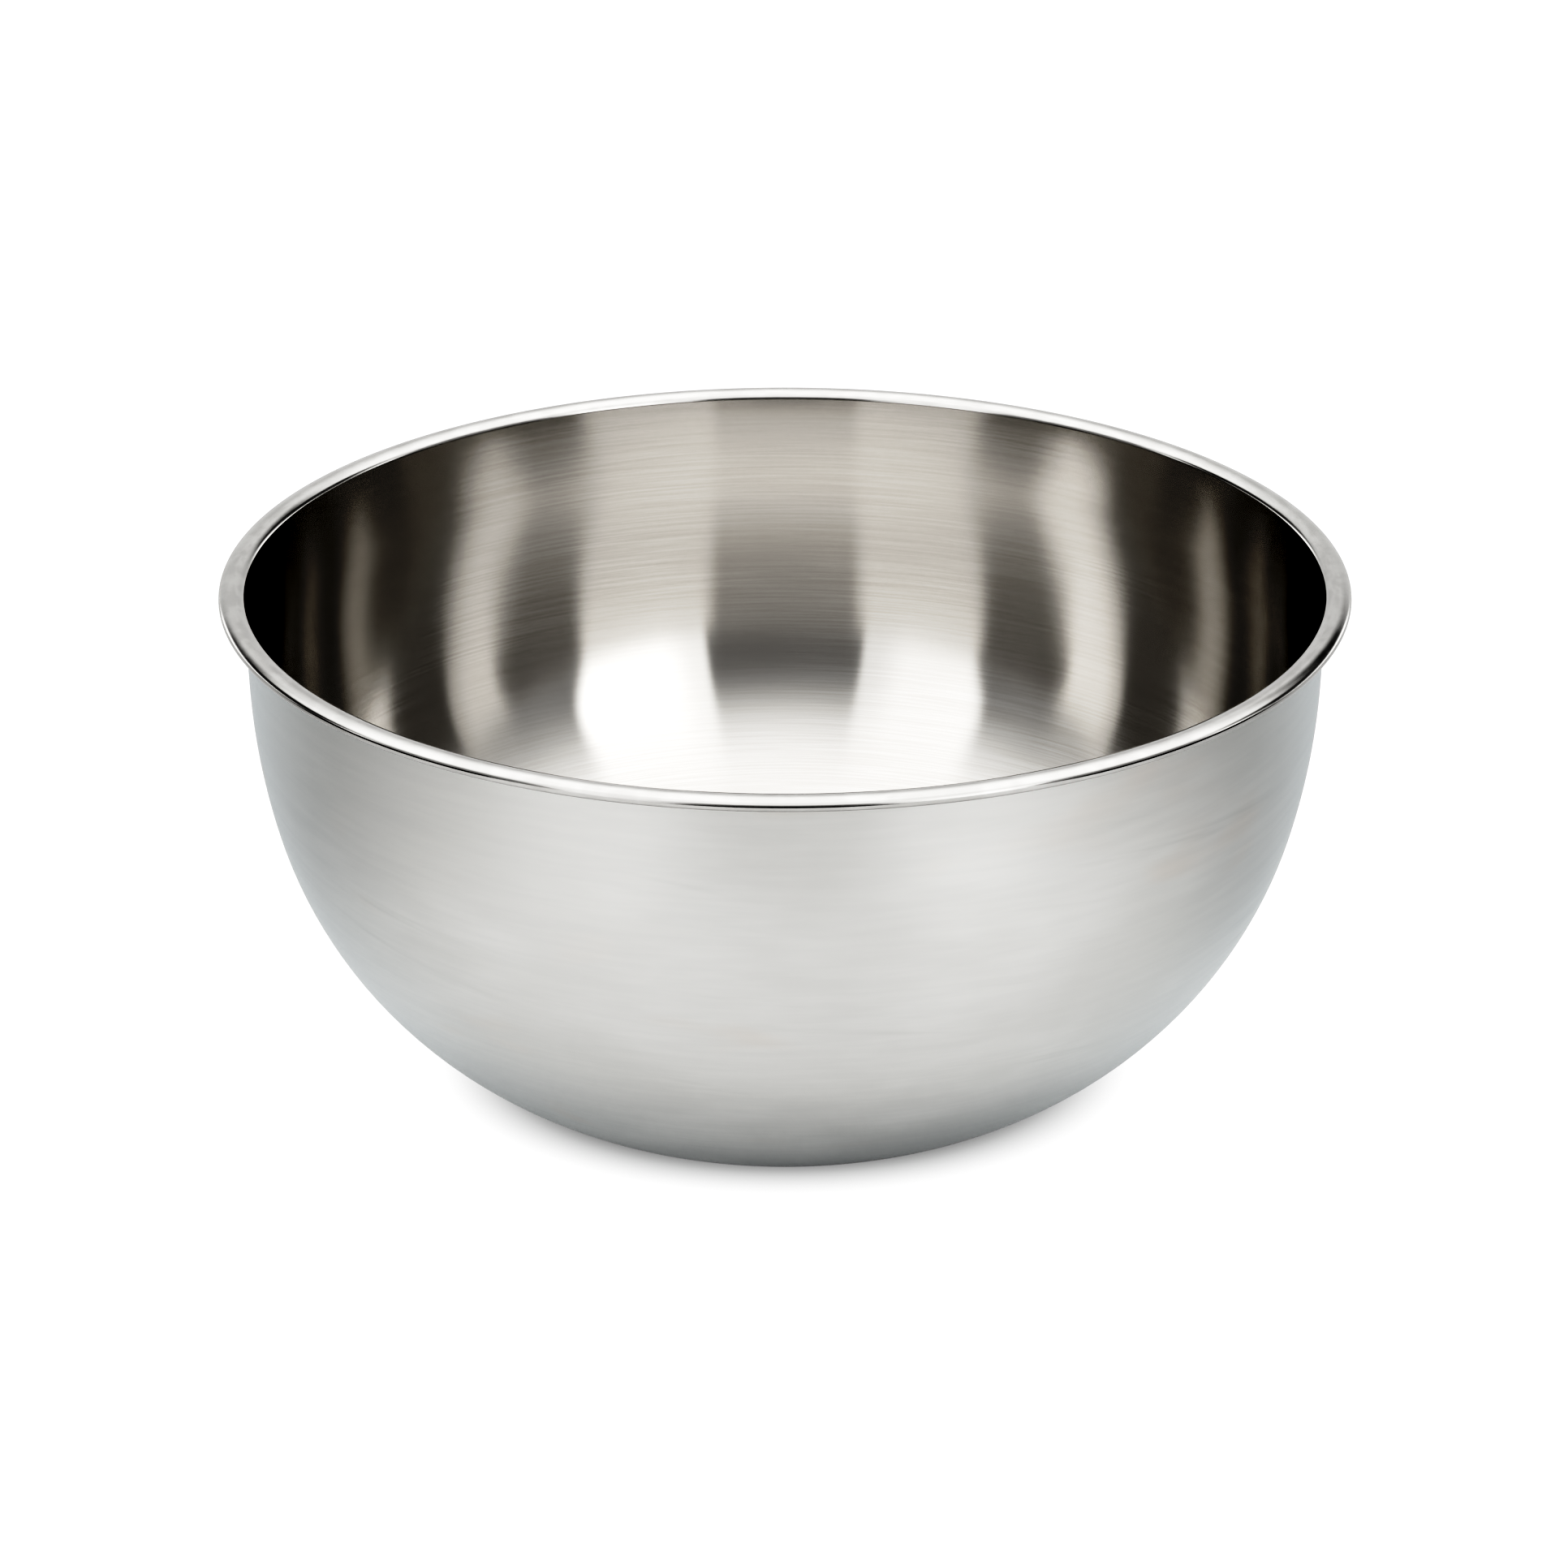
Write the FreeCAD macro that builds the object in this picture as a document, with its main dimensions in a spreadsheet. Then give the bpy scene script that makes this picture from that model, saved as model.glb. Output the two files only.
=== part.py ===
"""Stainless-steel mixing bowl with a wired rim, as a parametric FreeCAD document.

The bowl is one sheet of steel, turned about the Z axis: a flat base, a wall of three tangent
arcs, and a top edge that turns outwards into a crowned lip, curls under round a stiffening wire
and comes back to the wall. The wire is a separate open ring inside that curl.

Frame: millimetres, +Z up, origin at the centre of the base, on the plane that the bowl stands on.
"""
import FreeCAD, Part
import math
import os

import Sketcher

PARTS_FOLDER = "parts"

# Alias, value and meaning of each driving size: lengths in millimetres, angles in degrees.
DRIVING_SIZES = [
    ("rim_diameter", 280.0, "across the outside of the rolled rim"),
    ("overall_height", 132.6, "from the base to the top of the rim"),
    ("sheet_thickness", 0.6, "steel sheet, the same all over"),
    ("heel_radius", 42.0, "outside radius of the turn from the base into the wall"),
    ("heel_turn", 25.0, "angle of that turn"),
    ("belly_radius", 107.0, "outside radius of the lower wall"),
    ("belly_turn", 50.0, "angle that the lower wall turns through"),
    ("shoulder_radius", 165.0, "outside radius of the upper wall"),
    ("wall_flare", 2.2, "lean of the straight top of the wall, out from vertical"),
    ("lip_bend_radius", 1.5, "upper surface, where the wall turns outwards into the lip"),
    ("lip_crown_radius", 5.5, "upper surface of the lip, rounded across its width"),
    ("lip_crown_slope", 28.0, "slope of the lip at each side of its crown"),
    ("curl_radius", 1.3, "outer surface of the curl at the rim's edge"),
    ("return_length", 4.4, "straight leg that comes back under the lip towards the wall"),
    ("wire_clearance", 0.05, "gap all round between the wire and the curl"),
    ("wire_butt_gap", 1.2, "gap between the two ends of the wire"),
]

# Sketch geometry: number of the vertex at the start and at the end of a line or an arc.
START, END = 1, 2
# Vertex number of a circle's centre, and the geometry and vertex numbers of the sketch's origin.
CENTRE = 3
ORIGIN_GEO, ORIGIN_VERTEX = -1, 1


def make_size_sheet(doc):
    """Writes the driving sizes into a spreadsheet, one alias to a row."""
    sheet = doc.addObject("Spreadsheet::Sheet", "sizes")
    for row, (alias, value, meaning) in enumerate(DRIVING_SIZES, start=1):
        sheet.set(f"A{row}", alias)
        sheet.set(f"B{row}", str(value))
        sheet.set(f"C{row}", meaning)
        sheet.setAlias(f"B{row}", alias)
    doc.recompute()
    return sheet


def origin_plane(body, role):
    """The body's own origin plane with that role, such as XZ_Plane."""
    return next(plane for plane in body.Origin.OriginFeatures if plane.Role == role)


def new_body_with_sketch(doc, name):
    """A body with one empty sketch on its XZ plane: sketch x is the radius, sketch y the height."""
    body = doc.addObject("PartDesign::Body", name)
    body.Label = name
    body.Placement = FreeCAD.Placement()
    sketch = body.newObject("Sketcher::SketchObject", name + "_section")
    sketch.AttachmentSupport = [(origin_plane(body, "XZ_Plane"), "")]
    sketch.MapMode = "FlatFace"
    return body, sketch


def constrain(sketch, *description):
    """Adds a geometric constraint, which has no size."""
    sketch.addConstraint(Sketcher.Constraint(*description))


def dimension(sketch, name, expression, *description):
    """Adds a named dimension and binds it to an expression of the driving sizes."""
    sketch.addConstraint(Sketcher.Constraint(*description))
    sketch.renameConstraint(sketch.ConstraintCount - 1, name)
    sketch.setExpression("Constraints." + name, expression)


class SheetFace:
    """One face of the sheet in section: a chain of lines and arcs, each tangent to the last.

    It keeps a pen, with a place and a heading in degrees from the radius direction, so each
    piece is drawn where the last one ended.
    """

    def __init__(self, sketch, face, x, y):
        self.sketch = sketch
        self.face = face
        self.x, self.y, self.heading = x, y, 0.0
        self.geos = {}
        self.last = None
        self.exit = None

    def _join(self, name, geo, entry, leave):
        if self.last is not None:
            constrain(self.sketch, "Tangent", self.last, self.exit, geo, entry)
        self.geos[name] = geo
        self.last, self.exit = geo, leave

    def line(self, name, length):
        """A straight piece along the heading."""
        angle = math.radians(self.heading)
        start = FreeCAD.Vector(self.x, self.y, 0)
        self.x += length * math.cos(angle)
        self.y += length * math.sin(angle)
        end = FreeCAD.Vector(self.x, self.y, 0)
        geo = self.sketch.addGeometry(Part.LineSegment(start, end), False)
        self._join(name, geo, START, END)

    def arc(self, name, radius, turn, radius_expression):
        """A round piece. A positive turn bends the heading to the left, towards the axis."""
        side = 1.0 if turn > 0 else -1.0
        angle = math.radians(self.heading)
        centre_x = self.x - side * radius * math.sin(angle)
        centre_y = self.y + side * radius * math.cos(angle)
        self.heading += turn
        angle_after = math.radians(self.heading)
        self.x = centre_x + side * radius * math.sin(angle_after)
        self.y = centre_y - side * radius * math.cos(angle_after)
        circle = Part.Circle(FreeCAD.Vector(centre_x, centre_y, 0), FreeCAD.Vector(0, 0, 1), radius)
        if turn > 0:
            first, second = angle - math.pi / 2, angle_after - math.pi / 2
            entry, leave = START, END
        else:
            first, second = angle_after + math.pi / 2, angle + math.pi / 2
            entry, leave = END, START
        geo = self.sketch.addGeometry(Part.ArcOfCircle(circle, first, second), False)
        self._join(name, geo, entry, leave)
        dimension(self.sketch, f"{self.face}_{name}_radius", radius_expression, "Radius", geo, radius)


def bound_radius(alias, reduction):
    """The expression for an arc's radius: the driving radius, less the sheet if it is reduced."""
    return f"sizes.{alias}" + (" - sizes.sheet_thickness" if reduction else "")


def draw_sheet_face(sketch, size, face, lengths):
    """Draws the outer or the inner face of the sheet, from the axis to the cut edge under the lip.

    The wall's arcs have their centres on the bowl's inner side, so on the inner face they are
    smaller by the sheet's thickness. The lip's bend, crown and curl have their centres below the
    lip, so there the outer face, which has become the underside, is the smaller one.
    """
    sheet = size.sheet_thickness
    wall_reduction, lip_reduction = (0.0, sheet) if face == "outer" else (sheet, 0.0)
    pen = SheetFace(sketch, face, 0.0, wall_reduction)
    pen.line("base", lengths["base"])
    for name, radius, turn in (
        ("heel", size.heel_radius, size.heel_turn),
        ("belly", size.belly_radius, size.belly_turn),
    ):
        pen.arc(name, radius - wall_reduction, turn, bound_radius(name + "_radius", wall_reduction))
        dimension(sketch, f"{face}_{name}_turn", f"sizes.{name}_turn * 1 deg", "Angle",
                  pen.geos[name], math.radians(turn))
    shoulder_turn = 90.0 - size.wall_flare - size.heel_turn - size.belly_turn
    pen.arc("shoulder", size.shoulder_radius - wall_reduction, shoulder_turn,
            bound_radius("shoulder_radius", wall_reduction))
    pen.line("wall", lengths["wall"])
    pen.arc("bend", size.lip_bend_radius - lip_reduction, size.wall_flare + size.lip_crown_slope - 90.0,
            bound_radius("lip_bend_radius", lip_reduction))
    crown_turn = 2 * size.lip_crown_slope
    pen.arc("crown", size.lip_crown_radius - lip_reduction, -crown_turn,
            bound_radius("lip_crown_radius", lip_reduction))
    dimension(sketch, f"{face}_crown_turn", "2 * sizes.lip_crown_slope * 1 deg", "Angle",
              pen.geos["crown"], math.radians(crown_turn))
    pen.arc("curl", size.curl_radius - lip_reduction, size.lip_crown_slope - 180.0,
            bound_radius("curl_radius", lip_reduction))
    pen.line("return", size.return_length)
    return pen


def lip_centres(size):
    """Radius and height of the centres of the lip's three arcs: its bend, its crown and its curl."""
    slope = math.radians(size.lip_crown_slope)
    curl_reach = size.lip_crown_radius - size.curl_radius
    bend_reach = size.lip_crown_radius - size.lip_bend_radius
    curl_radius = size.rim_diameter / 2 - size.curl_radius
    crown_radius = curl_radius - curl_reach * math.sin(slope)
    crown_height = size.overall_height - size.lip_crown_radius
    return {
        "bend": (crown_radius - bend_reach * math.sin(slope), crown_height + bend_reach * math.cos(slope)),
        "crown": (crown_radius, crown_height),
        "curl": (curl_radius, crown_height + curl_reach * math.cos(slope)),
    }


def section_lengths(size):
    """Lengths of the two straight stretches whose ends are set by the height and the rim."""
    first = math.radians(size.heel_turn)
    second = first + math.radians(size.belly_turn)
    third = math.radians(90.0 - size.wall_flare)
    stretches = ((size.heel_radius, 0.0, first), (size.belly_radius, first, second),
                 (size.shoulder_radius, second, third))
    run = sum(r * (math.sin(b) - math.sin(a)) for r, a, b in stretches)
    rise = sum(r * (math.cos(a) - math.cos(b)) for r, a, b in stretches)
    bend_centre_radius, bend_centre_height = lip_centres(size)["bend"]
    bend_outer = size.lip_bend_radius - size.sheet_thickness
    wall_top_radius = bend_centre_radius - bend_outer * math.sin(third)
    wall_top_height = bend_centre_height + bend_outer * math.cos(third)
    wall = (wall_top_height - rise) / math.sin(third)
    base = wall_top_radius - wall * math.cos(third) - run
    return {"wall": wall, "base": base}


def make_bowl_shell(doc, size):
    """The one-piece sheet: base, wall and rolled rim, as a section turned through a full circle."""
    body, sketch = new_body_with_sketch(doc, "bowl_shell")
    lengths = section_lengths(size)
    outer = draw_sheet_face(sketch, size, "outer", lengths)
    inner = draw_sheet_face(sketch, size, "inner", lengths)

    # The sheet's middle, on the axis, and its cut edge, under the lip.
    axis_line = Part.LineSegment(FreeCAD.Vector(0, 0, 0), FreeCAD.Vector(0, size.sheet_thickness, 0))
    axis_geo = sketch.addGeometry(axis_line, False)
    edge_line = Part.LineSegment(FreeCAD.Vector(outer.x, outer.y, 0), FreeCAD.Vector(inner.x, inner.y, 0))
    edge_geo = sketch.addGeometry(edge_line, False)
    constrain(sketch, "Coincident", axis_geo, START, ORIGIN_GEO, ORIGIN_VERTEX)
    constrain(sketch, "Coincident", outer.geos["base"], START, axis_geo, START)
    constrain(sketch, "Coincident", inner.geos["base"], START, axis_geo, END)
    constrain(sketch, "Coincident", outer.last, outer.exit, edge_geo, START)
    constrain(sketch, "Coincident", inner.last, inner.exit, edge_geo, END)
    constrain(sketch, "Vertical", axis_geo)
    dimension(sketch, "thickness", "sizes.sheet_thickness", "DistanceY", axis_geo, START, axis_geo, END,
              size.sheet_thickness)

    # The outer face's own places: the lean of the wall, the lip's height and its edge. The base and
    # the straight of the wall are as long as these leave them.
    centres = lip_centres(size)
    dimension(sketch, "flare", "(90 - sizes.wall_flare) * 1 deg", "Angle",
              outer.geos["wall"], math.radians(90.0 - size.wall_flare))
    dimension(sketch, "crown_centre_height", "sizes.overall_height - sizes.lip_crown_radius", "DistanceY",
              ORIGIN_GEO, ORIGIN_VERTEX, outer.geos["crown"], CENTRE, centres["crown"][1])
    dimension(sketch, "curl_centre_radius", "sizes.rim_diameter / 2 - sizes.curl_radius", "DistanceX",
              ORIGIN_GEO, ORIGIN_VERTEX, outer.geos["curl"], CENTRE, centres["curl"][0])
    dimension(sketch, "return_leg", "sizes.return_length", "Distance",
              outer.geos["return"], START, outer.geos["return"], END, size.return_length)
    for face in (outer, inner):
        for name in ("base", "return"):
            constrain(sketch, "Horizontal", face.geos[name])
        constrain(sketch, "Horizontal", face.geos["crown"], START, face.geos["crown"], END)

    # The inner face follows the outer one at the sheet's thickness.
    constrain(sketch, "Parallel", outer.geos["wall"], inner.geos["wall"])
    for name in ("base", "wall", "return"):
        constrain(sketch, "Equal", outer.geos[name], inner.geos[name])
    doc.recompute()

    turning = body.newObject("PartDesign::Revolution", "bowl_shell_turning")
    turning.Profile = sketch
    turning.ReferenceAxis = (sketch, ["V_Axis"])
    turning.Angle = 360.0
    sketch.Visibility = False
    return body, sketch


def make_rim_wire(doc, size):
    """The stiffening wire: a round section turned almost full circle, so its ends nearly butt."""
    body, sketch = new_body_with_sketch(doc, "rim_wire")
    ring_radius, ring_height = lip_centres(size)["curl"]
    wire_radius = size.curl_radius - size.sheet_thickness - size.wire_clearance
    section = Part.Circle(FreeCAD.Vector(ring_radius, ring_height, 0), FreeCAD.Vector(0, 0, 1), wire_radius)
    geo = sketch.addGeometry(section, False)
    dimension(sketch, "wire_radius", "sizes.curl_radius - sizes.sheet_thickness - sizes.wire_clearance",
              "Radius", geo, wire_radius)
    dimension(sketch, "ring_radius", "sizes.rim_diameter / 2 - sizes.curl_radius", "DistanceX",
              ORIGIN_GEO, ORIGIN_VERTEX, geo, CENTRE, ring_radius)
    dimension(sketch, "ring_height",
              "sizes.overall_height - sizes.lip_crown_radius"
              " + (sizes.lip_crown_radius - sizes.curl_radius) * cos(sizes.lip_crown_slope * 1 deg)",
              "DistanceY", ORIGIN_GEO, ORIGIN_VERTEX, geo, CENTRE, ring_height)
    doc.recompute()

    turning = body.newObject("PartDesign::Revolution", "rim_wire_turning")
    turning.Profile = sketch
    turning.ReferenceAxis = (sketch, ["V_Axis"])
    turning.setExpression(
        "Angle",
        "360 deg - sizes.wire_butt_gap / (sizes.rim_diameter / 2 - sizes.curl_radius) * 1 rad",
    )
    sketch.Visibility = False
    return body, sketch


def check_document(doc, bodies, sketches):
    """Stops on any failed object, loose sketch, or empty or invalid solid."""
    for item in doc.Objects:
        if "Invalid" in item.State or "Error" in item.State:
            raise RuntimeError(f"{item.Name} failed to recompute: {item.State}")
    for sketch in sketches:
        if sketch.solve() != 0 or not sketch.FullyConstrained:
            raise RuntimeError(f"{sketch.Name} isn't fully constrained")
    for body in bodies:
        shape = body.Shape
        if shape.isNull() or not shape.isValid() or len(shape.Solids) != 1:
            raise RuntimeError(f"{body.Label} isn't one valid solid")


def main():
    doc = FreeCAD.newDocument("mixing_bowl")
    size = make_size_sheet(doc)
    print(f"flat base {2 * section_lengths(size)['base']:.2f} mm across, "
          f"straight wall {section_lengths(size)['wall']:.2f} mm long")
    shell, shell_sketch = make_bowl_shell(doc, size)
    wire, wire_sketch = make_rim_wire(doc, size)
    doc.recompute()
    check_document(doc, [shell, wire], [shell_sketch, wire_sketch])

    overlap = shell.Shape.common(wire.Shape).Volume
    if overlap > 0.0:
        raise RuntimeError(f"the wire cuts into the curl by {overlap:.3f} cubic mm")
    os.makedirs(PARTS_FOLDER, exist_ok=True)
    for body in (shell, wire):
        body.Shape.exportStep(os.path.join(PARTS_FOLDER, body.Label + ".step"))
        box = body.Shape.BoundBox
        print(f"{body.Label}: {box.XLength:.2f} x {box.YLength:.2f} x {box.ZLength:.2f} mm, "
              f"z {box.ZMin:.2f} to {box.ZMax:.2f}, volume {body.Shape.Volume:.0f} cubic mm")


main()
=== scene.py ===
import math

import bmesh
import bpy
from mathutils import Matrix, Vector


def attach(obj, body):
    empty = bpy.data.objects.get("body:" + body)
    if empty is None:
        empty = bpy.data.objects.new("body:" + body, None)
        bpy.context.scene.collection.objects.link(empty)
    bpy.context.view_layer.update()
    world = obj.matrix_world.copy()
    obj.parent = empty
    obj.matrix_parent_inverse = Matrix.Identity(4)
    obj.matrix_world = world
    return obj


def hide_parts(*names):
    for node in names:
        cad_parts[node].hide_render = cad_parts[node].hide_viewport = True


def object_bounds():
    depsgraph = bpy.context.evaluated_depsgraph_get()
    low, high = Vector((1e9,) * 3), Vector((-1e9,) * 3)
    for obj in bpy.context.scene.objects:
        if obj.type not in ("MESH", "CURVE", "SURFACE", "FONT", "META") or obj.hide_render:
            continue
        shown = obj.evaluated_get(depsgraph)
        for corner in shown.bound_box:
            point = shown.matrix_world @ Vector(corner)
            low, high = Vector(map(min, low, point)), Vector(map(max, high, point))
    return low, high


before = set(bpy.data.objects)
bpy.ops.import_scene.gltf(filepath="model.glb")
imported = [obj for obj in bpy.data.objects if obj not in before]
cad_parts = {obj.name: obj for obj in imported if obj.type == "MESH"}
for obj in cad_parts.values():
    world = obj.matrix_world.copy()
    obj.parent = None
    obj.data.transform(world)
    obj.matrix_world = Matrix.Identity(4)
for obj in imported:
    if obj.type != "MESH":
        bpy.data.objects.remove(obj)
cad_low, cad_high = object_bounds()

# The bowl's main sizes, in metres, from the frame.
BOWL_HEIGHT = cad_high.z - cad_low.z
RIM_RADIUS = (cad_high.x - cad_low.x) / 2

# ---------------------------------------------------------------- camera

CAMERA_ELEVATION = math.radians(23.43)
CAMERA_DISTANCE = 11 * RIM_RADIUS
CAMERA_AIM = Vector((-0.00025, 0, 0.575 * BOWL_HEIGHT))
CAMERA_LENS_MM = 140.63
CAMERA_SENSOR_MM = 36


def make_camera():
    camera = bpy.data.cameras.new("camera")
    camera.lens = CAMERA_LENS_MM
    camera.sensor_width = CAMERA_SENSOR_MM
    camera.clip_start = 0.05
    camera.clip_end = 50
    item = bpy.data.objects.new("camera", camera)
    back = Vector((0, -math.cos(CAMERA_ELEVATION), math.sin(CAMERA_ELEVATION)))
    item.location = CAMERA_AIM + CAMERA_DISTANCE * back
    item.rotation_mode = "QUATERNION"
    item.rotation_quaternion = (-back).to_track_quat("-Z", "Y")
    bpy.context.scene.collection.objects.link(item)
    bpy.context.scene.camera = item


# ---------------------------------------------------------------- node helpers


class Nodes:
    """Short calls for making a shader's nodes. A value may be a number or another node's output."""

    def __init__(self, tree):
        self.tree = tree
        tree.nodes.clear()

    def add(self, kind, **settings):
        node = self.tree.nodes.new(kind)
        for name, value in settings.items():
            setattr(node, name, value)
        return node

    def put(self, socket, value):
        if isinstance(value, bpy.types.NodeSocket):
            self.tree.links.new(value, socket)
        else:
            socket.default_value = value

    def math(self, operation, a, b=0.0, c=0.0):
        node = self.add("ShaderNodeMath", operation=operation)
        for socket, value in zip(node.inputs, (a, b, c)):
            self.put(socket, value)
        return node.outputs[0]

    def times(self, first, *others):
        for value in others:
            first = self.math("MULTIPLY", first, value)
        return first

    def step(self, value, start, end, low=0.0, high=1.0):
        """A smooth step: low before start, high after end."""
        node = self.add("ShaderNodeMapRange", interpolation_type="SMOOTHSTEP")
        sockets = ("Value", "From Min", "From Max", "To Min", "To Max")
        for name, v in zip(sockets, (value, start, end, low, high)):
            self.put(node.inputs[name], v)
        return node.outputs["Result"]

    def band(self, value, start, end, soft):
        """1 between start and end, 0 outside, with edges this soft."""
        rise = self.step(value, start - soft, start + soft)
        fall = self.step(value, end - soft, end + soft)
        return self.math("SUBTRACT", rise, fall)

    def separate(self, vector):
        node = self.add("ShaderNodeSeparateXYZ")
        self.put(node.inputs[0], vector)
        return node.outputs

    def combine(self, x, y, z):
        node = self.add("ShaderNodeCombineXYZ")
        for socket, value in zip(node.inputs, (x, y, z)):
            self.put(socket, value)
        return node.outputs[0]

    def length(self, x, y):
        return self.math("SQRT", self.math("ADD", self.times(x, x), self.times(y, y)))

    def noise(self, where, detail=2.0, roughness=0.5):
        """Noise from 0 to 1, with patches about 1 wide in the units of where."""
        node = self.add("ShaderNodeTexNoise")
        self.put(node.inputs["Vector"], where)
        self.put(node.inputs["Scale"], 1.0)
        self.put(node.inputs["Detail"], detail)
        self.put(node.inputs["Roughness"], roughness)
        return node.outputs[0]

    # A Mix node has sockets of its own for each type: 2 and 3 for numbers, and 6 and 7 for colours.
    def mix_colour(self, factor, a, b):
        node = self.add("ShaderNodeMix", data_type="RGBA")
        self.put(node.inputs["Factor"], factor)
        self.put(node.inputs[6], a)
        self.put(node.inputs[7], b)
        return node.outputs[2]

    def mix(self, factor, a, b):
        node = self.add("ShaderNodeMix", data_type="FLOAT")
        self.put(node.inputs["Factor"], factor)
        self.put(node.inputs[2], a)
        self.put(node.inputs[3], b)
        return node.outputs[0]

    def finish(self, shader, kind="ShaderNodeOutputMaterial"):
        out = self.add(kind)
        self.tree.links.new(shader.outputs[0], out.inputs[0])


# ---------------------------------------------------------------- studio

# Places in the studio are in degrees: turn is round from the front, and rise is up from the horizon.
# A pair is where a soft edge starts and where it ends.
FRONT_GAP = (17.5, 20.0)
FRONT_PANEL_INNER_PART = (21.0, 31.0)
FRONT_PANEL_END_LOW, FRONT_PANEL_END_HIGH, FRONT_PANEL_WIDENS = 48.0, 56.0, (12.0, 32.0)
FRONT_PANEL_END_SOFTNESS = 2.0
SIDE_PANEL_START, SIDE_PANEL_END = (88.0, 96.0), (145.0, 153.0)
SIDE_PANEL_DIMS = (10.0, 24.0)
BACK_START = (145.0, 155.0)
ROOM_BRIGHTENS = (25.0, 75.0)
DARK_HORIZON_END = (3.0, 8.0)
CEILING_START, CEILING_START_BEHIND, CEILING_DROPS = 22.5, 19.0, (100.0, 150.0)
CEILING_FULL = 52.0
CEILING_BRIGHTENS = (60.0, 110.0)
# How much nearer the front the edges of the left panels are.
LEFT_SHIFT = 3.0
# The horizon is open between the first two of these, with edges as soft as the third.
OPEN_FRONT, OPEN_BEHIND = (19.0, 54.0, 2.0), (98.0, 110.0)
# The dark corners' start, end and softness, their base's slope and edge, and their top.
CORNER_TURN = (105.0, 162.0, 8.0)
CORNER_SLOPE, CORNER_BASE = 0.4, (-48.0, -38.0)
CORNER_TOP = (29.0, 40.0)
CORNER_LEFT_SHIFT, CORNER_LEFT_DROP = 8.0, 4.0

# Light levels.
FRONT_PANEL_LEFT, FRONT_PANEL_RIGHT = 1.4, 1.85
SIDE_PANEL_LOW, SIDE_PANEL_HIGH = 1.65, 0.85
BACK_LEVEL = 0.4
ROOM_IN_FRONT, ROOM_BEHIND = 0.48, 0.72
CEILING_IN_FRONT, CEILING_BEHIND = 1.95, 2.2
BACKDROP_LEVEL = 1.5
# How much of the light is left at a front panel's inner edge, and in a dark corner.
FRONT_PANEL_INNER, CORNER_LEVEL = 0.72, 0.1
# A ray's depth is 1 when it leaves the camera, and 1 more each time it meets the steel or the
# floor. These are the depths after one meeting and after three.
DEPTH_AFTER_ONE, DEPTH_AFTER_THREE = 2, 4
# How much of each panel is left in late light, which has had three meetings or more.
FRONT_LATE, SIDE_LATE = 0.85, 0.2

FLOOR_HALF_SIZE = 60 * RIM_RADIUS
# Soft edges of the floor's painted light and shade, in rim radii from the bowl's axis.
LIT_FLOOR_END = (4.14, 5.06)
UNDER_BOWL, CONTACT = (0.35, 0.9), (0.38, 0.56)
BY_TURN_START = (0.5, 1.8)
SHADOW_EDGE = (0.44, 0.65)
# The painted shadow is a little shorter in front of the bowl and behind it than at its sides.
SHADOW_SQUEEZE_X, SHADOW_SQUEEZE_Y = 0.97, 1.13
# Where painted shade darkens the floor and painted light brightens it round the bowl, in degrees from
# the front.
FLOOR_DARKENS, FLOOR_BRIGHTENS = (45.0, 105.0), (90.0, 125.0)
FLOOR_IN_FRONT = (20.0, 44.0, 10.0)
# Levels of the floor's painted light and shade, where 1 is its full brightness.
FLOOR_AT_SIDES, FLOOR_BEHIND_GAIN, FLOOR_IN_FRONT_GAIN = 0.64, 0.07, 0.05
UNDER_BOWL_SHADE_LEVEL, CONTACT_SHADE_LEVEL, SHADOW_LEVEL = 0.5, 0.35, 0.3
# The floor's grey and its own glow, as the steel reflects it and as the camera sees it.
REFLECTED_GREY, REFLECTED_GLOW = 0.4, 0.55
SEEN_GREY, SEEN_GLOW = 0.25, 0.95


def degrees_from_front(n, x, y):
    """Degrees round from the front, the same on the left and on the right."""
    turn = n.math("ARCTAN2", x, n.times(y, -1.0))
    return n.math("DEGREES", n.math("ABSOLUTE", turn))


def open_horizon(n, turn):
    """1 where light reaches down to the horizon, under the front panels and behind, else 0."""
    return n.math("ADD", n.band(turn, *OPEN_FRONT), n.step(turn, *OPEN_BEHIND))


def front_panels(n, turn, rise, left, late):
    """Two soft panels, each a little wider at its top and weaker at its inner edge. The left one is
    narrower and weaker than the right one."""
    end = n.step(rise, *FRONT_PANEL_WIDENS, FRONT_PANEL_END_LOW, FRONT_PANEL_END_HIGH)
    past_end = n.math("MULTIPLY_ADD", left, LEFT_SHIFT, n.math("SUBTRACT", turn, end))
    past_end = n.step(past_end, -FRONT_PANEL_END_SOFTNESS, FRONT_PANEL_END_SOFTNESS)
    panel = n.math("SUBTRACT", n.step(turn, *FRONT_GAP), past_end)
    level = n.mix(left, FRONT_PANEL_RIGHT, FRONT_PANEL_LEFT)
    inner = n.step(turn, *FRONT_PANEL_INNER_PART, FRONT_PANEL_INNER, 1.0)
    return n.times(panel, level, n.mix(late, 1.0, FRONT_LATE), inner)


def side_panels(n, turn, rise, left, late):
    """One panel at each side, towards the back, brighter low down."""
    start = n.step(n.math("MULTIPLY_ADD", left, LEFT_SHIFT, turn), *SIDE_PANEL_START)
    panel = n.math("SUBTRACT", start, n.step(turn, *SIDE_PANEL_END))
    level = n.step(rise, *SIDE_PANEL_DIMS, SIDE_PANEL_LOW, SIDE_PANEL_HIGH)
    return n.times(panel, level, n.mix(late, 1.0, SIDE_LATE))


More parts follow.
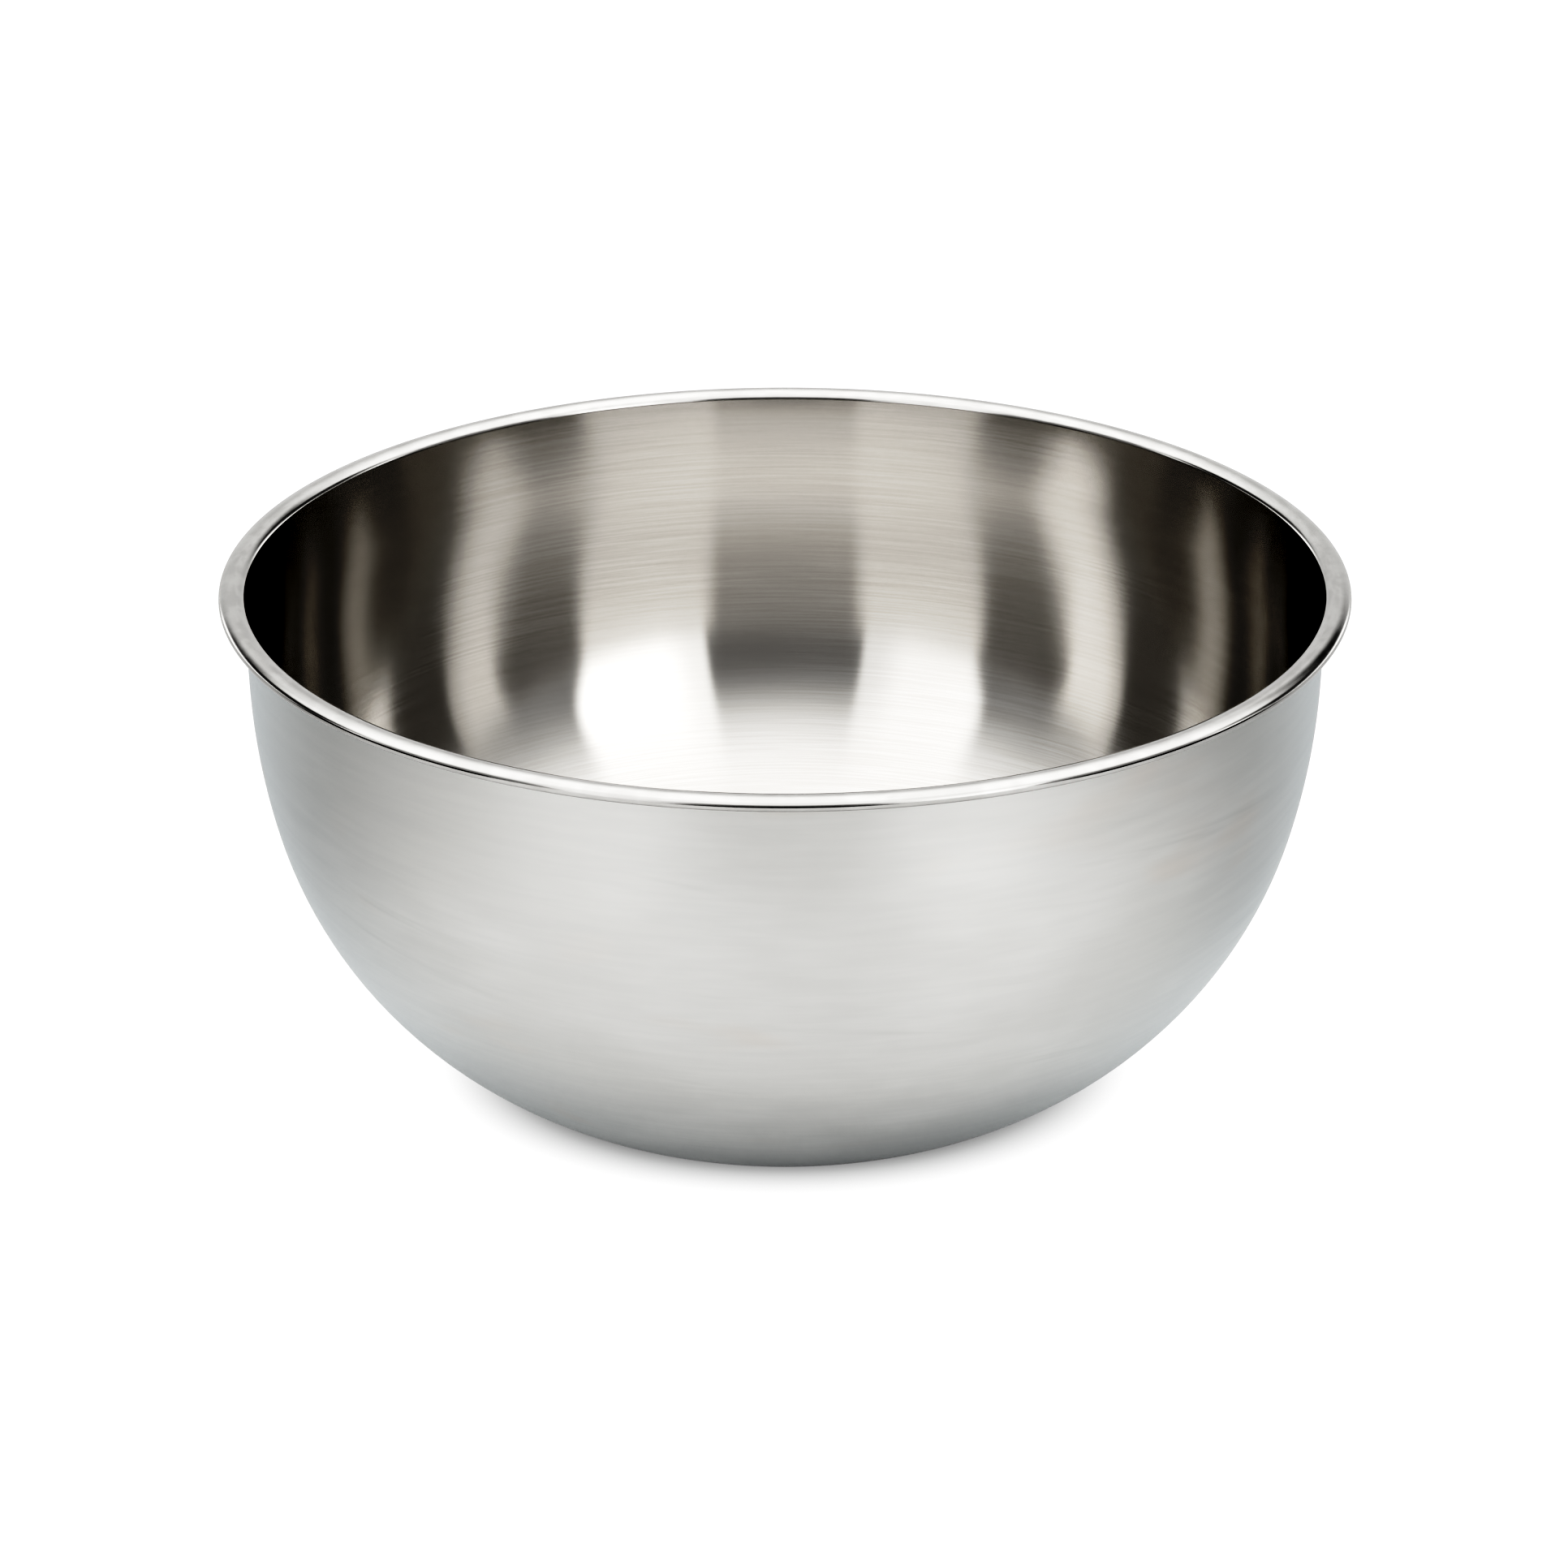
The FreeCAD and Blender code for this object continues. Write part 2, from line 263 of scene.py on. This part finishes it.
def dark_corners(n, turn, rise, left):
    """1 in a patch at each side towards the back, else 0. Its base rises towards the back, and the
    left one starts and ends nearer the front and is lower."""
    width = n.band(n.math("MULTIPLY_ADD", left, CORNER_LEFT_SHIFT, turn), *CORNER_TURN)
    over_base = n.step(n.math("MULTIPLY_ADD", turn, -CORNER_SLOPE, rise), *CORNER_BASE)
    under_top = n.step(n.math("MULTIPLY_ADD", left, CORNER_LEFT_DROP, rise), *CORNER_TOP, 1.0, 0.0)
    return n.times(width, over_base, under_top)


def make_studio_light():
    """A white studio: two soft panels in front, one at each side towards the back, a bright
    ceiling, and dark gaps between them and along the horizon."""
    world = bpy.data.worlds.new("studio")
    bpy.context.scene.world = world
    world.use_nodes = True
    n = Nodes(world.node_tree)
    x, y, z = n.separate(n.add("ShaderNodeTexCoord").outputs["Generated"])
    turn = degrees_from_front(n, x, y)
    rise = n.math("DEGREES", n.math("ARCSINE", z))
    left = n.math("LESS_THAN", x, 0.0)

    # The lip shows the dark corners, and the deep reflections inside the bowl don't. Late light
    # finds weaker panels, which keeps the sides of the inside dark.
    ray = n.add("ShaderNodeLightPath")
    met_once = n.math("LESS_THAN", ray.outputs["Ray Depth"], DEPTH_AFTER_ONE + 0.5)
    late = n.math("GREATER_THAN", ray.outputs["Ray Depth"], DEPTH_AFTER_THREE - 0.5)

    front = front_panels(n, turn, rise, left, late)
    lower = n.math("ADD", front, side_panels(n, turn, rise, left, late))
    lower = n.math("MULTIPLY_ADD", n.step(turn, *BACK_START), BACK_LEVEL, lower)
    lower = n.math("ADD", lower, n.step(turn, *ROOM_BRIGHTENS, ROOM_IN_FRONT, ROOM_BEHIND))
    above_horizon = n.math("MAXIMUM", n.step(rise, *DARK_HORIZON_END), open_horizon(n, turn))
    lower = n.times(lower, above_horizon)

    ceiling_start = n.step(turn, *CEILING_DROPS, CEILING_START, CEILING_START_BEHIND)
    ceiling = n.step(turn, *CEILING_BRIGHTENS, CEILING_IN_FRONT, CEILING_BEHIND)
    level = n.mix(n.step(rise, ceiling_start, CEILING_FULL), lower, ceiling)
    corner = n.times(dark_corners(n, turn, rise, left), met_once)
    level = n.times(level, n.mix(corner, 1.0, CORNER_LEVEL))

    shade = n.add("ShaderNodeBackground")
    n.put(shade.inputs["Strength"], n.mix(ray.outputs["Is Camera Ray"], level, BACKDROP_LEVEL))
    n.finish(shade, "ShaderNodeOutputWorld")


def diffuse_and_glow(n, grey, glow_strength):
    """A diffuse grey with a glow of its own, which keeps the bowl's soft shadow light."""
    diffuse = n.add("ShaderNodeBsdfDiffuse")
    n.put(diffuse.inputs["Color"], n.combine(grey, grey, grey))
    glow = n.add("ShaderNodeEmission")
    n.put(glow.inputs["Strength"], glow_strength)
    both = n.add("ShaderNodeAddShader")
    n.put(both.inputs[0], diffuse.outputs[0])
    n.put(both.inputs[1], glow.outputs[0])
    return both.outputs[0]


def floor_paint():
    """Pale, with painted light near the bowl only and painted dark beyond it, so far away the bowl's
    reflections are dark.
    """
    paint = bpy.data.materials.new("pale_floor")
    paint.use_nodes = True
    n = Nodes(paint.node_tree)
    x, y, _ = n.separate(n.add("ShaderNodeTexCoord").outputs["Object"])
    x = n.math("DIVIDE", x, RIM_RADIUS)
    y = n.math("DIVIDE", y, RIM_RADIUS)
    distance = n.length(x, y)
    turn = degrees_from_front(n, x, y)
    lit = n.step(distance, *LIT_FLOOR_END, 1.0, 0.0)
    lit = n.math("MAXIMUM", lit, open_horizon(n, turn))

    # Painted light and shade: the floor before the front panels is painted brighter, and at the bowl's
    # sides darker.
    painted_light_by_turn = n.step(turn, *FLOOR_DARKENS, 1.0, FLOOR_AT_SIDES)
    painted_light_by_turn = n.math("ADD", painted_light_by_turn, n.step(turn, *FLOOR_BRIGHTENS, 0.0, FLOOR_BEHIND_GAIN))
    painted_light_by_turn = n.math("MULTIPLY_ADD", n.band(turn, *FLOOR_IN_FRONT), FLOOR_IN_FRONT_GAIN, painted_light_by_turn)
    painted_light_by_turn = n.mix(n.step(distance, *BY_TURN_START), 1.0, painted_light_by_turn)

    # Painted shade, seen only in the steel's reflections: it darkens under the bowl, most of all where
    # the two meet.
    under = n.step(distance, *UNDER_BOWL, UNDER_BOWL_SHADE_LEVEL, 1.0)
    painted_contact_shade = n.step(distance, *CONTACT, CONTACT_SHADE_LEVEL, 1.0)
    level = n.times(lit, painted_light_by_turn, under, painted_contact_shade)
    # A painted shadow round the bowl, on the floor as the camera sees it.
    from_bowl = n.length(n.times(x, SHADOW_SQUEEZE_X), n.times(y, SHADOW_SQUEEZE_Y))
    shadow = n.step(from_bowl, *SHADOW_EDGE, SHADOW_LEVEL, 1.0)

    reflected = diffuse_and_glow(n, n.times(level, REFLECTED_GREY), n.times(level, REFLECTED_GLOW))
    seen = diffuse_and_glow(n, n.times(shadow, SEEN_GREY), n.times(shadow, SEEN_GLOW))
    shade = n.add("ShaderNodeMixShader")
    n.put(shade.inputs[0], n.add("ShaderNodeLightPath").outputs["Is Camera Ray"])
    n.put(shade.inputs[1], reflected)
    n.put(shade.inputs[2], seen)
    n.finish(shade)
    return paint


def make_floor():
    mesh = bpy.data.meshes.new("floor")
    h = FLOOR_HALF_SIZE
    mesh.from_pydata([(-h, -h, 0), (h, -h, 0), (h, h, 0), (-h, h, 0)], [], [(0, 1, 2, 3)])
    mesh.materials.append(floor_paint())
    floor = bpy.data.objects.new("floor", mesh)
    floor.location.z = cad_low.z
    bpy.context.scene.collection.objects.link(floor)


# ---------------------------------------------------------------- the sheet's section

# The same sizes as the CAD shell's, in metres and degrees.
SHEET = 0.0006
HEEL_RADIUS, HEEL_TURN = 0.042, 25.0
BELLY_RADIUS, BELLY_TURN = 0.107, 50.0
SHOULDER_RADIUS = 0.165
WALL_FLARE = 2.2
BEND_RADIUS = 0.0015
CROWN_RADIUS, CROWN_SLOPE = 0.0055, 28.0
CURL_RADIUS = 0.0013
RETURN_LENGTH = 0.0044

SECTORS = 400
SHARP_ANGLE = math.radians(40)
# A point nearer the axis than this is on it.
ON_AXIS = 1e-9


def lip_bend_centre():
    """Radius and height of the centre of the arc that turns the wall outwards into the lip."""
    slope = math.radians(CROWN_SLOPE)
    from_curl = (CROWN_RADIUS - CURL_RADIUS + CROWN_RADIUS - BEND_RADIUS) * math.sin(slope)
    radius = RIM_RADIUS - CURL_RADIUS - from_curl
    height = BOWL_HEIGHT - CROWN_RADIUS + (CROWN_RADIUS - BEND_RADIUS) * math.cos(slope)
    return radius, height


def straight_lengths():
    """Lengths of the wall's straight top and of the base's radius, on the outer face."""
    headings = [math.radians(h) for h in (0, HEEL_TURN, HEEL_TURN + BELLY_TURN, 90 - WALL_FLARE)]
    arcs = list(zip((HEEL_RADIUS, BELLY_RADIUS, SHOULDER_RADIUS), headings, headings[1:]))
    run = sum(r * (math.sin(b) - math.sin(a)) for r, a, b in arcs)
    rise = sum(r * (math.cos(a) - math.cos(b)) for r, a, b in arcs)
    bend_radius, bend_height = lip_bend_centre()
    top_heading = headings[-1]
    outer_bend = BEND_RADIUS - SHEET
    wall = (bend_height + outer_bend * math.cos(top_heading) - rise) / math.sin(top_heading)
    base = bend_radius - outer_bend * math.sin(top_heading) - wall * math.cos(top_heading) - run
    return wall, base


def face_line(inside):
    """Points along one face of the sheet, from the axis to the cut edge, each with its zone's name."""
    wall, base = straight_lengths()
    wall_less, lip_less = (SHEET, 0.0) if inside else (0.0, SHEET)
    body = "inside" if inside else "outside"
    shoulder_turn = 90 - WALL_FLARE - HEEL_TURN - BELLY_TURN
    bend_turn = -(90 - WALL_FLARE - CROWN_SLOPE)
    # Zone, radius (None for a straight piece), turn in degrees or length, number of steps.
    pieces = [
        (body, None, base, 8),
        (body, HEEL_RADIUS - wall_less, HEEL_TURN, 10),
        (body, BELLY_RADIUS - wall_less, BELLY_TURN, 26),
        (body, SHOULDER_RADIUS - wall_less, shoulder_turn, 14),
        (body, None, wall, 5),
        ("rim", BEND_RADIUS - lip_less, bend_turn, 10),
        ("rim", CROWN_RADIUS - lip_less, -2 * CROWN_SLOPE, 14),
        ("rim", CURL_RADIUS - lip_less, CROWN_SLOPE - 180, 18),
        ("rim", None, RETURN_LENGTH, 3),
    ]
    radius, height, heading = 0.0, wall_less, 0.0
    points = [(radius, height)]
    zones = []
    for zone, bend, amount, steps in pieces:
        for _ in range(steps):
            if bend is None:
                turn, chord = 0.0, amount / steps
            else:
                turn = math.radians(amount) / steps
                chord = 2 * bend * math.sin(abs(turn) / 2)
            radius += chord * math.cos(heading + turn / 2)
            height += chord * math.sin(heading + turn / 2)
            heading += turn
            points.append((radius, height))
            zones.append(zone)
    return points, zones


def turn_section(name, points, zones, materials):
    """A closed solid of revolution about the Z axis. Both ends of the section are on the axis."""
    mesh = bmesh.new()
    rings = []
    for radius, height in points:
        if radius < ON_AXIS:
            rings.append([mesh.verts.new((0, 0, height))] * SECTORS)
            continue
        angles = [2 * math.pi * i / SECTORS for i in range(SECTORS)]
        places = [(radius * math.cos(a), radius * math.sin(a), height) for a in angles]
        rings.append([mesh.verts.new(place) for place in places])
    order = list(materials)
    for ring, next_ring, zone in zip(rings, rings[1:], zones):
        for i in range(SECTORS):
            j = (i + 1) % SECTORS
            corners = (ring[i], ring[j], next_ring[j], next_ring[i])
            corners = tuple(dict.fromkeys(corners))
            face = mesh.faces.new(corners)
            face.smooth = True
            face.material_index = order.index(zone)
    bmesh.ops.recalc_face_normals(mesh, faces=mesh.faces)
    data = bpy.data.meshes.new(name)
    mesh.to_mesh(data)
    mesh.free()
    for material in materials.values():
        data.materials.append(material)
    item = bpy.data.objects.new(name, data)
    bpy.context.scene.collection.objects.link(item)
    return item


def make_bowl(materials):
    outer, outer_zones = face_line(inside=False)
    inner, inner_zones = face_line(inside=True)
    points = outer + inner[::-1]
    zones = outer_zones + ["rim"] + inner_zones[::-1]
    bowl = turn_section("bowl_sheet", points, zones, materials)
    bowl.data.set_sharp_from_angle(angle=SHARP_ANGLE)
    return bowl


# ---------------------------------------------------------------- metals

# Nearly all of a noise's values lie between these.
NOISE_SPREAD = (0.3, 0.7)


class Steel(Nodes):
    """Stainless steel whose brush lines go round the bowl's axis, as on a lathe."""

    def __init__(self, name, anisotropy):
        self.material = bpy.data.materials.new(name)
        self.material.use_nodes = True
        super().__init__(self.material.node_tree)
        self.shade = self.add("ShaderNodeBsdfPrincipled")
        self.shade.inputs["Metallic"].default_value = 1.0
        self.shade.inputs["Anisotropic"].default_value = anisotropy
        # A quarter turn, so that reflections are drawn out across the brush lines.
        self.shade.inputs["Anisotropic Rotation"].default_value = 0.25
        tangent = self.add("ShaderNodeTangent", direction_type="RADIAL", axis="Z")
        self.tree.links.new(tangent.outputs[0], self.shade.inputs["Tangent"])
        self.finish(self.shade)
        x, y, self.height = self.separate(self.add("ShaderNodeTexCoord").outputs["Object"])
        radius = self.length(x, y)
        self.u = self.math("DIVIDE", x, radius)
        self.v = self.math("DIVIDE", y, radius)
        # Grows all the way from the axis to the rim, along the base and up the wall.
        self.along = self.math("ADD", radius, self.height)

    def grain(self, round_scale, along_scale, detail=3.0, roughness=0.6, shift=0.0, slant=0.0):
        """Noise drawn out round the axis: its patches are wide by 1/round_scale of the radius and
        tall by 1/along_scale of a metre. A slant tilts them out of level."""
        along = self.along
        if slant:
            along = self.math("MULTIPLY_ADD", self.u, slant, along)
        where = self.combine(
            self.math("MULTIPLY_ADD", self.u, round_scale, shift),
            self.times(self.v, round_scale),
            self.times(along, along_scale),
        )
        return self.noise(where, detail, roughness)

    def bumps(self, *layers):
        """Bumps laid one on another: each a height from 0 to 1 and its depth in metres."""
        normal = None
        for height, depth in layers:
            bump = self.add("ShaderNodeBump")
            bump.inputs["Distance"].default_value = depth
            self.put(bump.inputs["Height"], height)
            if normal is not None:
                self.put(bump.inputs["Normal"], normal)
            normal = bump.outputs[0]
        self.put(self.shade.inputs["Normal"], normal)

    def colour(self, value):
        self.put(self.shade.inputs["Base Color"], value)

    def roughness(self, value):
        self.put(self.shade.inputs["Roughness"], value)


def brushed_inside():
    """The inside: semi-polished, with fine lines of uneven strength that run round it."""
    s = Steel("brushed_inside", anisotropy=0.95)
    fine = s.grain(3.0, 1500.0, detail=2.0, roughness=0.6)
    coarse = s.grain(1.6, 350.0, detail=2.0, shift=7.0)
    patch = s.grain(1.3, 26.0, detail=2.0, shift=3.0)
    lines = s.mix(0.15, fine, coarse)
    # The lines are strong where the patches are brushed, and weak between them.
    brushed = s.step(patch, 0.4, 0.62)
    contrast = s.mix(brushed, 0.2, 0.6)
    mark = s.times(s.step(lines, *NOISE_SPREAD, -1.0, 1.0), contrast)
    dull, bright = (0.60, 0.587, 0.568, 1), (0.66, 0.652, 0.637, 1)
    s.colour(s.mix_colour(s.step(mark, -1.0, 1.0), dull, bright))
    # Rougher low in the bowl, from 60 mm up down to 20 mm up.
    low_wall = s.step(s.height, 0.02, 0.06, 0.09, 0.0)
    rough = s.math("MULTIPLY_ADD", mark, 0.008, s.mix(brushed, 0.115, 0.13))
    s.roughness(s.math("ADD", rough, low_wall))
    wave = s.grain(3.0, 16.0, detail=1.0, roughness=0.5)
    wave_depth, line_depth = 0.00006, 0.00000012
    s.bumps((wave, wave_depth), (lines, line_depth))
    return s.material


def satin_outside():
    """The outside: an even satin, with faint arcs, smudges and warm patches from handling."""
    s = Steel("satin_outside", anisotropy=0.5)
    fine = s.grain(5.0, 420.0, detail=2.0, roughness=0.6, shift=2.0)
    cloud = s.grain(1.5, 18.0, detail=3.0, shift=5.0)
    arc = s.grain(1.4, 150.0, detail=3.0, roughness=0.55, shift=9.0, slant=0.02)
    streak = s.times(s.step(arc, 0.56, 0.74), s.step(cloud, 0.42, 0.6))
    tone = s.step(cloud, *NOISE_SPREAD, -1.0, 1.0)
    warm = s.step(s.grain(2.2, 34.0, detail=2.0, shift=1.0), 0.58, 0.75)
    dull, bright = (0.615, 0.612, 0.60, 1), (0.66, 0.657, 0.645, 1)
    warm_steel, rubbed_steel = (0.64, 0.61, 0.58, 1), (0.54, 0.54, 0.53, 1)
    line_steel = (0.5, 0.5, 0.5, 1)
    base = s.mix_colour(s.step(tone, -1.0, 1.0), dull, bright)
    base = s.mix_colour(s.times(warm, 0.5), base, warm_steel)
    base = s.mix_colour(s.times(streak, 0.4), base, rubbed_steel)
    base = s.mix_colour(s.step(fine, *NOISE_SPREAD, 0.03, 0.13), base, line_steel)
    s.colour(base)
    # Kept above 0.28, where a denoised picture is clean.
    rough = s.math("MULTIPLY_ADD", tone, 0.025, 0.32)
    s.roughness(s.math("MULTIPLY_ADD", streak, -0.012, rough))
    s.shade.inputs["Specular Tint"].default_value = (0.95, 0.98, 1.0, 1)
    return s.material


def polished_rim():
    """The rolled lip: polished, with the slight unevenness that rolling leaves."""
    s = Steel("polished_rim", anisotropy=0.3)
    blotch = s.grain(14.0, 260.0, detail=2.0, shift=4.0)
    rubbed = s.grain(5.0, 1200.0, detail=2.0, roughness=0.6)
    dull, bright = (0.515, 0.51, 0.50, 1), (0.56, 0.555, 0.545, 1)
    s.colour(s.mix_colour(s.step(blotch, 0.35, 0.65), dull, bright))
    uneven = s.step(blotch, *NOISE_SPREAD, 0.14, 0.18)
    s.roughness(s.math("MULTIPLY_ADD", s.step(rubbed, *NOISE_SPREAD), 0.04, uneven))
    blotch_depth, rubbed_depth = 0.000006, 0.0000005
    s.bumps((blotch, blotch_depth), (rubbed, rubbed_depth))
    return s.material


def drawn_wire():
    """The wire in the curl: drawn steel, with lines that run along it."""
    s = Steel("drawn_wire", anisotropy=0.4)
    draw = s.grain(2.0, 5000.0, detail=3.0)
    dull, bright = (0.5, 0.5, 0.49, 1), (0.6, 0.6, 0.59, 1)
    s.colour(s.mix_colour(draw, dull, bright))
    s.roughness(s.step(draw, *NOISE_SPREAD, 0.25, 0.4))
    draw_depth = 0.000003
    s.bumps((draw, draw_depth))
    return s.material


def set_tone():
    """The contrast of a product picture: deep darks and nearly unchanged lights."""
    view = bpy.context.scene.view_settings
    view.view_transform = "Standard"
    view.look = "None"
    view.use_curve_mapping = True
    # Curve 3 is the one for red, green and blue together. Each point is a linear level and the
    # linear level that it is shown at.
    curve = view.curve_mapping.curves[3]
    darks = [(0.1, 0.002), (0.18, 0.02), (0.33, 0.155)]
    lights = [(0.5, 0.42), (0.65, 0.67), (0.85, 0.89)]
    for level, shown in darks + lights:
        curve.points.new(level, shown)
    view.curve_mapping.update()


make_camera()
make_studio_light()
make_floor()

steels = {"inside": brushed_inside(), "outside": satin_outside(), "rim": polished_rim()}
bowl = make_bowl(steels)
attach(bowl, "root")
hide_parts("bowl_shell")

wire_steel = drawn_wire()
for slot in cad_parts["rim_wire"].material_slots:
    slot.material = wire_steel

set_tone()
